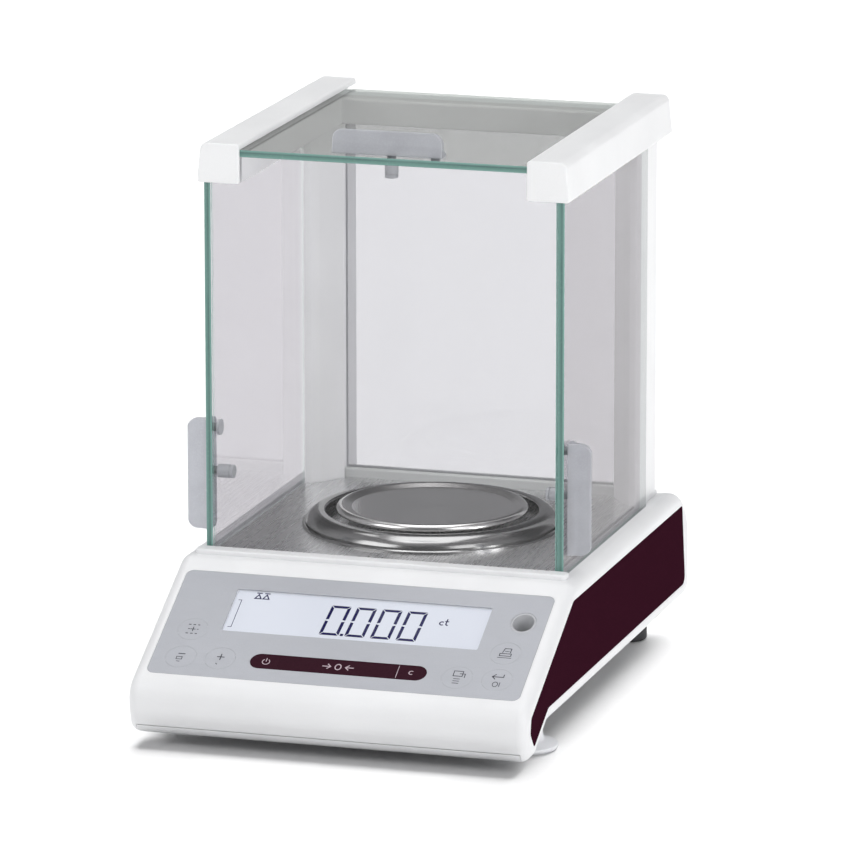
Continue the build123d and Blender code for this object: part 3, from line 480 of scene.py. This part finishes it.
materials = {
    "housing_white": plastic("housing_white", (0.84, 0.845, 0.855, 1), 0.42),
    "frame_white": plastic("frame_white", (0.88, 0.885, 0.89, 1), 0.4, grain=0.00001, grain_size=0.0006),
    "maroon_panel": printed_film("maroon_panel", MAROON, 0.5, 0.0),
    "key_maroon": printed_film("key_maroon", MAROON, 0.42, 0.03),
    "overlay_grey": film_grey("overlay_grey", tone(168, 170, 176)),
    "window_clear": cover_glass("window_clear"),
    "lcd_pale": lit_panel("lcd_pale", tone(214, 217, 225), 0.64, lcd_low, lcd_high),
    "backlight_white": plastic("backlight_white", (0.9, 0.9, 0.9, 1), 0.3),
    "board_green": circuit_board("board_green"),
    "dome_steel": metal("dome_steel", (0.75, 0.75, 0.76, 1), 0.22, EVEN),
    "cup_grey": plastic("cup_grey", tone(186, 187, 191), 0.45),
    "vial_clear": smoked("vial_clear", tone(196, 206, 150), 0.25),
    "floor_steel": metal(
        "floor_steel",
        (0.77, 0.77, 0.775, 1),
        0.26,
        (1, 0.02, 1),
        lines=7000,
        depth=0.00000001,
        spots=0.0,
        streak=0.7,
    ),
    # The ring's steel is far darker than the pan's: painted shade for the dark room that its slopes mirror.
    "ring_steel": turned_metal("ring_steel", (0.36, 0.36, 0.355, 1), 0.17),
    "pan_steel": turned_metal("pan_steel", (0.74, 0.735, 0.72, 1), 0.2),
    "cell_aluminium": metal("cell_aluminium", (0.78, 0.78, 0.79, 1), 0.3, (1, 0.06, 1), lines=1200),
    "spring_steel": metal("spring_steel", (0.6, 0.6, 0.62, 1), 0.24, (0.05, 1, 1), lines=1600),
    "coil_copper": wound_copper("coil_copper"),
    "magnet_iron": metal("magnet_iron", (0.36, 0.36, 0.37, 1), 0.38, (1, 1, 0.08), lines=700, spots=0.2),
    "ribbon_grey": ink("ribbon_grey", tone(176, 178, 184), 0.45),
    "socket_black": plastic("socket_black", tone(28, 28, 31), 0.38, wear=1.6),
    "socket_metal": metal("socket_metal", (0.7, 0.7, 0.71, 1), 0.26, (1, 1, 0.1)),
    "handle_smoke": smoked("handle_smoke", tone(212, 213, 217), 0.58),
    "peg_grey": plastic("peg_grey", tone(176, 178, 182), 0.35, wear=1.15),
    "foot_grey": plastic("foot_grey", tone(236, 237, 240), 0.42),
    "foot_rubber": rubber("foot_rubber", tone(52, 52, 55)),
    "cover_grey": plastic("cover_grey", tone(150, 152, 156), 0.45),
    "screw_steel": metal("screw_steel", (0.62, 0.62, 0.63, 1), 0.28, EVEN, lines=2000),
    # The rear sill is the frame's white plastic; this darker copy of it is painted shade.
    "sill_painted_shade": plastic("sill_painted_shade", tone(208, 210, 209), 0.4),
}
# The rear sill takes the darker copy in place of its frame_white slot: painted shade.
painted_shade_finish = {"rear_sill": "sill_painted_shade"}
SQUARE_TINT = (0.95, 0.95, 0.955, 1)
SIDE_TINT, TOP_TINT = (0.72, 0.705, 0.725, 1), (0.71, 0.72, 0.7, 1)
# The axis across each pane, its tint seen square on and at a slant, and the strength of the painted glow on
# its edges. The slant tints, the right door's most, are partly the glass's own loss at a slant and partly
# painted shade for the darker room the panes mirror.
pane_glasses = {
    "front_glass": (1, SQUARE_TINT, SIDE_TINT, 0.0),
    "rear_glass": (1, (0.85, 0.85, 0.86, 1), SIDE_TINT, 1.0),
    "left_door_glass": (0, SQUARE_TINT, SIDE_TINT, 0.0),
    "right_door_glass": (0, SQUARE_TINT, (0.63, 0.61, 0.63, 1), 0.0),
    "top_door_glass": (2, SQUARE_TINT, TOP_TINT, 0.0),
}
for node_name, obj in nodes.items():
    for index, material in enumerate(obj.data.materials):
        if node_name in pane_glasses:
            made = pane("pane_glass_" + node_name, *pane_glasses[node_name])
        else:
            made = materials[painted_shade_finish.get(node_name, material.name.split(".")[0])]
        obj.data.materials[index] = made


# ---- Flat printed pieces -----------------------------------------------------------------------------
SHARPEST_MITRE = 0.35


def ribbon(points, width, closed):
    """A line of constant width through points, as a list of its left and right points."""
    count = len(points)
    pairs = []
    for i, (x, y) in enumerate(points):
        before = points[i - 1] if closed or i > 0 else None
        after = points[(i + 1) % count] if closed or i < count - 1 else None
        steps = []
        if before is not None:
            steps.append((Vector((x, y)) - Vector(before)).normalized())
        if after is not None:
            steps.append((Vector(after) - Vector((x, y))).normalized())
        mean = sum(steps, Vector((0, 0))).normalized()
        side = Vector((-mean.y, mean.x))
        reach = width / 2 / max(SHARPEST_MITRE, side.dot(Vector((-steps[0].y, steps[0].x))))
        pairs.append(((x + side.x * reach, y + side.y * reach), (x - side.x * reach, y - side.y * reach)))
    return pairs


def add_ribbon(mesh, pairs, closed, place, low, high):
    def corners(pair, height):
        return [mesh.verts.new(place @ Vector((x, y, height))) for x, y in pair]

    rows = [(corners(pair, low), corners(pair, high)) for pair in pairs]
    count = len(rows)
    for i in range(count if closed else count - 1):
        (bl, br), (tl, tr) = rows[i]
        (nbl, nbr), (ntl, ntr) = rows[(i + 1) % count]
        mesh.faces.new((tl, tr, ntr, ntl))
        mesh.faces.new((bl, nbl, nbr, br))
        mesh.faces.new((bl, tl, ntl, nbl))
        mesh.faces.new((br, nbr, ntr, tr))
    if not closed:
        for (bl, br), (tl, tr) in (rows[0], rows[-1]):
            mesh.faces.new((bl, br, tr, tl))


def add_slab(mesh, area, place, low, high):
    bottom = [mesh.verts.new(place @ Vector((x, y, low))) for x, y in area]
    top = [mesh.verts.new(place @ Vector((x, y, high))) for x, y in area]
    mesh.faces.new(bottom[::-1])
    mesh.faces.new(top)
    for i in range(len(area)):
        j = (i + 1) % len(area)
        mesh.faces.new((bottom[i], bottom[j], top[j], top[i]))


def linked(name, data):
    obj = bpy.data.objects.new(name, data)
    bpy.context.scene.collection.objects.link(obj)
    return obj


def mesh_object(name, mesh):
    """A new object with the faces of a bmesh, which is freed."""
    data = bpy.data.meshes.new(name)
    mesh.to_mesh(data)
    mesh.free()
    return linked(name, data)


def flat_piece(name, place, low, high, lines=(), areas=()):
    """A thin piece on a plane, in millimetres. Lines are strokes and outlines, areas are lists of corners."""
    mesh = bmesh.new()
    for points, width, closed in lines:
        add_ribbon(mesh, ribbon(points, width, closed), closed, place, low, high)
    for area in areas:
        add_slab(mesh, area, place, low, high)
    bmesh.ops.recalc_face_normals(mesh, faces=mesh.faces)
    return mesh_object(name, mesh)


def stroke(width, *points):
    """An open line of a flat piece."""
    return points, width, False


def outline(width, *points):
    """A closed line of a flat piece."""
    return points, width, True


def arc(x, y, radius, start, stop, count=12):
    """Points round (x, y) from start to stop, in degrees anticlockwise from the right."""
    step = (stop - start) / count
    angles = [radians(start + i * step) for i in range(count + 1)]
    return [(x + radius * cos(angle), y + radius * sin(angle)) for angle in angles]


def loop(x, y, radius_x, radius_y, count=20):
    """Points of a whole ellipse round (x, y)."""
    angles = [2 * pi * i / count for i in range(count)]
    return [(x + radius_x * cos(angle), y + radius_y * sin(angle)) for angle in angles]


def finished(obj, material, body):
    """The piece with its material and slot, riding on a body."""
    obj.data.materials.append(material)
    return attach(obj, body)


# Plane of the control face: origin at the middle of the overlay's lower edge, x to the right, y up the slope,
# both in millimetres. The overlay's length is up the slope, in metres.
SLOPE = radians(28.54)
OVERLAY_LENGTH = 0.0689
overlay_low, overlay_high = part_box("keypad_overlay")
face_place = Matrix.Translation((0, overlay_low.y, overlay_high.z - OVERLAY_LENGTH * sin(SLOPE)))
face_place = face_place @ Matrix.Rotation(SLOPE, 4, "X") @ Matrix.Scale(MM, 4)

# ---- Display: segments and marks on the liquid-crystal panel, just under its window -----------------
# Heights are over the plane of the control face, in millimetres.
LCD_TOP, LCD_INK_TOP = -1.098, -1.06
DIGIT_W, DIGIT_H, DIGIT_PITCH = 9.3, 19.5, 12.1
SEGMENT, CORNER_GAP = 1.5, 0.3
DIGITS_X, DIGITS_S = -15.4, 34.0
DIGIT_COUNT = 4
MIDDLE_GAP, MIDDLE_TAPER = 0.35, 0.7
MITRE = 0.6
POINT = 1.5
LEAN = tan(radians(3.5))


def zero_segments(x, s):
    """The six lit segments of a nought, with lower left corner at (x, s)."""
    w, h, t, g = DIGIT_W, DIGIT_H, SEGMENT, CORNER_GAP
    mid = h / 2
    shapes = [
        [(g, h), (t + g * MITRE, h - t), (w - t - g * MITRE, h - t), (w - g, h)],
        [(g, 0), (w - g, 0), (w - t - g * MITRE, t), (t + g * MITRE, t)],
    ]
    for low, high, inner_low, inner_high in (
        (mid + MIDDLE_GAP, h - g, mid + MIDDLE_TAPER, h - t - g),
        (g, mid - MIDDLE_GAP, t + g, mid - MIDDLE_TAPER),
    ):
        shapes.append([(0, low), (t, inner_low), (t, inner_high), (0, high)])
        shapes.append([(w, low), (w, high), (w - t, inner_high), (w - t, inner_low)])
    return [[(x + px + (s + py - DIGITS_S) * LEAN, s + py) for px, py in shape] for shape in shapes]


segments = []
for place in range(DIGIT_COUNT):
    segments += zero_segments(DIGITS_X + place * DIGIT_PITCH, DIGITS_S)
point_x = DIGITS_X + DIGIT_W + (DIGIT_PITCH - DIGIT_W) / 2
point = ((-POINT / 2, 0.0), (POINT / 2, 0.0), (POINT / 2, POINT), (-POINT / 2, POINT))
segments.append([(point_x + x, DIGITS_S + s) for x, s in point])
digits = flat_piece("display_digits", face_place, LCD_TOP, LCD_INK_TOP, areas=segments)

# Two weights over a bar, the bracket of the capacity bar, and the letters c and t.
marks = []
for centre in (-50.0, -46.2):
    marks.append(outline(0.6, (centre - 1.45, 54.3), (centre, 57.0), (centre + 1.45, 54.3)))
    marks.append(stroke(0.6, (centre - 1.3, 57.9), (centre + 1.3, 57.9)))
marks.append(stroke(0.3, (-58.9, 34.6), (-57.2, 34.6), (-57.2, 52.6), (-58.7, 52.6)))
marks.append(stroke(0.6, *arc(39.4, 47.2, 1.05, 50, 310)))
marks.append(stroke(0.6, (41.5, 50.2), (41.3, 46.8), (41.8, 46.2), (42.4, 46.3)))
marks.append(stroke(0.5, (40.6, 48.6), (42.5, 48.6)))
lcd_marks = flat_piece("display_marks", face_place, LCD_TOP, LCD_INK_TOP, lines=marks)
navy = ink("segment_navy", tone(16, 11, 76), 0.35)
for piece in (digits, lcd_marks):
    finished(piece, navy, "base")

# ---- Printed key symbols ------------------------------------------------------------------------------
# Each key's lines are on the plane of the control face, in millimetres, and move with the key.
PRINT_LOW, PRINT_TOP = 0.004, 0.034
UNIT_DASHES = ((-76.6, -75.4), (-74.4, -73.2), (-72.2, -71.2))
key_prints = {
    "minus_key": [
        stroke(0.5, (-75.9, 13.6), (-72.6, 13.6)),
        outline(0.34, (-76.1, 11.6), (-73.5, 11.6), (-73.5, 10.0), (-76.1, 10.0)),
        stroke(0.34, (-75.6, 8.6), (-74.0, 8.6)),
    ],
    "plus_key": [
        stroke(0.5, (-57.5, 13.4), (-53.9, 13.4)),
        stroke(0.5, (-55.7, 15.4), (-55.7, 11.4)),
        stroke(0.4, (-57.0, 9.2), (-56.2, 8.4)),
    ],
    "unit_key": [
        *(stroke(0.5, (left, s), (right, s)) for s in (33.0, 27.2) for left, right in UNIT_DASHES),
        stroke(0.42, (-76.2, 30.1), (-75.2, 30.1)),
        stroke(0.42, (-73.8, 31.6), (-73.8, 28.7)),
        stroke(0.42, (-75.0, 30.1), (-72.6, 30.1)),
        stroke(0.42, (-72.0, 30.1), (-71.2, 30.1)),
    ],
    "print_key": [
        outline(0.4, (71.4, 28.2), (76.7, 28.2), (76.7, 29.7), (71.4, 29.7)),
        stroke(0.4, (72.4, 30.2), (73.1, 33.0), (76.1, 33.0), (76.0, 30.2)),
        stroke(0.34, (73.4, 31.2), (75.4, 31.2)),
        stroke(0.34, (70.8, 27.0), (77.2, 27.0)),
    ],
    "menu_key": [
        outline(0.4, (53.8, 13.0), (58.0, 13.0), (58.0, 16.2), (53.8, 16.2)),
        stroke(0.4, (56.6, 14.6), (59.2, 14.6), (59.2, 12.2)),
        *(stroke(0.36, (54.4, s), (57.4, s)) for s in (11.2, 9.8, 8.4)),
    ],
    "enter_key": [
        stroke(0.46, (77.0, 16.2), (77.0, 14.4), (72.0, 14.4)),
        stroke(0.46, (73.4, 16.0), (71.8, 14.4), (73.4, 12.8)),
        outline(0.36, *loop(74.2, 9.6, 1.2, 1.5, 16)),
        stroke(0.36, (76.2, 11.0), (76.2, 8.2)),
    ],
}
pill_prints = {
    "on_off_key": [
        stroke(0.4, *arc(-34.0, 12.6, 1.7, 125, 415, 16)),
        stroke(0.4, (-34.0, 14.9), (-34.0, 12.7)),
    ],
    "tare_key": [
        outline(0.5, *loop(0.0, 12.75, 1.35, 1.75)),
        stroke(0.5, (-7.4, 12.75), (-3.6, 12.75)),
        stroke(0.5, (-5.1, 14.3), (-3.5, 12.75), (-5.1, 11.2)),
        stroke(0.5, (7.4, 12.75), (3.6, 12.75)),
        stroke(0.5, (5.1, 14.3), (3.5, 12.75), (5.1, 11.2)),
    ],
    "adjust_key": [
        stroke(0.42, *arc(34.4, 12.75, 1.1, 55, 305, 12)),
        stroke(0.3, (27.9, 8.9), (27.9, 16.6)),
    ],
}
for prints, print_ink, slot_name in (
    (key_prints, ink("print_grey", tone(76, 76, 82)), "overlay_grey"),
    (pill_prints, ink("print_rose", tone(196, 178, 186)), "key_maroon"),
):
    for key, lines in prints.items():
        piece = flat_piece(key + "_print", face_place, PRINT_LOW, PRINT_TOP, lines=lines)
        finished(piece, print_ink, nodes[key]["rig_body"])

# ---- Level indicator: ring mark on the vial and the bubble under its crown -----------------------------
vial_low, vial_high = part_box("level_vial")
vial_x, vial_y = (vial_low.x + vial_high.x) / 2, (vial_low.y + vial_high.y) / 2
vial_place = Matrix.Translation((vial_x, vial_y, vial_high.z)) @ Matrix.Scale(MM, 4)
MARK_RADIUS, MARK_WIDTH, MARK_LOW, MARK_TOP = 2.2, 0.28, 0.01, 0.06
mark_line = outline(MARK_WIDTH, *loop(0, 0, MARK_RADIUS, MARK_RADIUS, 32))
level_mark = flat_piece("level_ring_mark", vial_place, MARK_LOW, MARK_TOP, lines=[mark_line])
finished(level_mark, ink("level_black", tone(36, 36, 40)), "base")


def revolved(name, profile, centre, count=48):
    """A closed form turned round a vertical axis. The profile runs from axis to axis, in millimetres."""
    mesh = bmesh.new()
    rows = []
    for radius, height in profile:
        if radius == 0:
            rows.append([mesh.verts.new(centre + Vector((0, 0, height)) * MM)])
        else:
            ring = loop(0, 0, radius, radius, count)
            rows.append([mesh.verts.new(centre + Vector((x, y, height)) * MM) for x, y in ring])
    for lower, upper in zip(rows, rows[1:]):
        for i in range(count):
            j = (i + 1) % count
            below = [lower[i % len(lower)], lower[j % len(lower)]]
            above = [upper[j % len(upper)], upper[i % len(upper)]]
            mesh.faces.new(list(dict.fromkeys(below + above)))
    bmesh.ops.recalc_face_normals(mesh, faces=mesh.faces)
    obj = mesh_object(name, mesh)
    for polygon in obj.data.polygons:
        polygon.use_smooth = True
    return obj


bubble_profile = [(0, -1.3), (0.9, -1.15), (1.5, -0.8), (1.6, -0.45), (1.25, -0.2), (0.7, -0.1), (0, -0.06)]
bubble = revolved("level_bubble", bubble_profile, Vector((vial_x, vial_y, vial_high.z)))
finished(bubble, smoked("bubble_air", tone(238, 242, 220), 0.55), "base")

# ---- Stage, lights and camera --------------------------------------------------------------------------
FLOOR_REACH = 7.0
FLOOR_DARKER, FLOOR_LIGHTER = (0.83, 0.83, 0.83, 1), (0.845, 0.845, 0.845, 1)
mesh = bmesh.new()
bmesh.ops.create_grid(mesh, x_segments=8, y_segments=8, size=FLOOR_REACH)
floor = mesh_object("floor", mesh)
ground = Finish("floor_pale")
paper = ground.noise(300, detail=3)
ground_colour = ground.mixed(ground.span(paper, 0.0, 1.0), FLOOR_DARKER, FLOOR_LIGHTER)
ground_shader = ground.principled(Base_Color=ground_colour, Roughness=0.85, Specular_IOR_Level=0.1)
floor.data.materials.append(ground.done(ground_shader))

# The studio's walls, from the horizon up, and dark boards high in front and behind, which the slopes of the
# pan and the ring mirror.
WALL_TONES = (
    (0.0, (0.42, 0.42, 0.43, 1)),
    (0.16, (0.5, 0.5, 0.51, 1)),
    (0.45, (0.78, 0.78, 0.79, 1)),
    (1.0, (0.7, 0.7, 0.71, 1)),
)
BOARD_TONE = (0.17, 0.17, 0.175, 1)
BOARD_HEIGHTS = ((0.27, 0.0), (0.36, 1.0), (0.72, 1.0), (0.86, 0.0), (1.0, 0.0))
BOARD_DEPTHS = (0.1, 0.45)
ROOM_STRENGTH = 0.72
world = bpy.data.worlds.new("studio")
bpy.context.scene.world = world
world.use_nodes = True
room = Nodes(world.node_tree)
towards = room.add("ShaderNodeTexCoord").outputs["Generated"]
height = room.axis(towards, 2)
board_height = room.ramp(height, *((place, (level, level, level, 1)) for place, level in BOARD_HEIGHTS))
board_depth = room.span(room.absolute(room.axis(towards, 1)), 0.0, 1.0, *BOARD_DEPTHS)
board_amount = room.times(board_height, board_depth)
room_colour = room.mixed(board_amount, room.ramp(height, *WALL_TONES), BOARD_TONE)
background = world.node_tree.nodes["Background"]
world.node_tree.links.new(room_colour, background.inputs["Color"])
background.inputs["Strength"].default_value = ROOM_STRENGTH

LAMP_AIM = Vector((0, 0, 0.12))


def softbox(name, place, width, height, power):
    """A rectangular lamp aimed at the middle of the balance."""
    lamp = bpy.data.lights.new(name, "AREA")
    lamp.shape = "RECTANGLE"
    lamp.size = width
    lamp.size_y = height
    lamp.energy = power
    obj = linked(name, lamp)
    obj.location = place
    obj.rotation_euler = (LAMP_AIM - Vector(place)).to_track_quat("-Z", "Y").to_euler()
    return obj


def linked_collection(name, objects, state):
    """A collection that says which objects a lamp lights or is blocked by: these alone, or all but these."""
    made = bpy.data.collections.new(name)
    for obj in objects:
        made.objects.link(obj)
    for entry in made.collection_objects:
        entry.light_linking.link_state = state
    return made


all_but_floor = linked_collection("all_but_floor", [floor], "EXCLUDE")
all_but_panes = linked_collection("all_but_panes", [nodes[name] for name in pane_glasses], "EXCLUDE")
# Name, place, width and height in metres, and power in watts.
for name, place, width, height, power in (
    ("front_left_softbox", (-1.5, -1.6, 1.6), 1.5, 1.5, 18),
    ("front_right_softbox", (1.7, -1.2, 1.5), 1.2, 1.6, 12),
    ("top_softbox", (-0.15, 0.3, 1.9), 1.3, 1.7, 15),
    ("right_fill", (2.3, -0.9, 0.6), 0.9, 0.9, 14),
):
    lamp = softbox(name, place, width, height, power)
    lamp.light_linking.receiver_collection = all_but_floor
    lamp.light_linking.blocker_collection = all_but_panes

# A wide, even lamp behind the balance lights only the pale floor, and only the base and its feet stand in its
# way, so a soft shadow falls forward.
STAGE_LIGHT_PATH = Vector((0.14, -1.7, -1.0))
stage_lamp = linked("stage_lamp", bpy.data.lights.new("stage_lamp", "SUN"))
stage_lamp.data.energy = 6.1
stage_lamp.data.angle = radians(38)
stage_lamp.rotation_euler = STAGE_LIGHT_PATH.to_track_quat("-Z", "Y").to_euler()
stage_lamp.light_linking.receiver_collection = linked_collection("floor_alone", [floor], "INCLUDE")
low_nodes = [nodes[name] for name in ("lower_housing", "left_front_foot", "right_front_foot", "rear_feet")]
stage_lamp.light_linking.blocker_collection = linked_collection("base_alone", low_nodes, "INCLUDE")

# The camera looks slightly down on the front from its right, through a long lens.
TARGET = Vector((0.0102, -0.0200, 0.1276))
VIEWPOINT = Vector((0.9480, -3.0907, 0.8732))
CAMERA_ROLL = radians(-0.05)
camera = linked("camera", bpy.data.cameras.new("camera"))
camera.data.lens = 304.35
camera.data.sensor_width = 36
camera.data.clip_end = 100
aim = (TARGET - VIEWPOINT).to_track_quat("-Z", "Y").to_matrix().to_4x4()
camera.matrix_world = Matrix.Translation(VIEWPOINT) @ aim @ Matrix.Rotation(CAMERA_ROLL, 4, "Z")
bpy.context.scene.camera = camera

scene = bpy.context.scene
scene.view_settings.view_transform = "Standard"
scene.cycles.transparent_max_bounces = 32
scene.cycles.max_bounces = 12
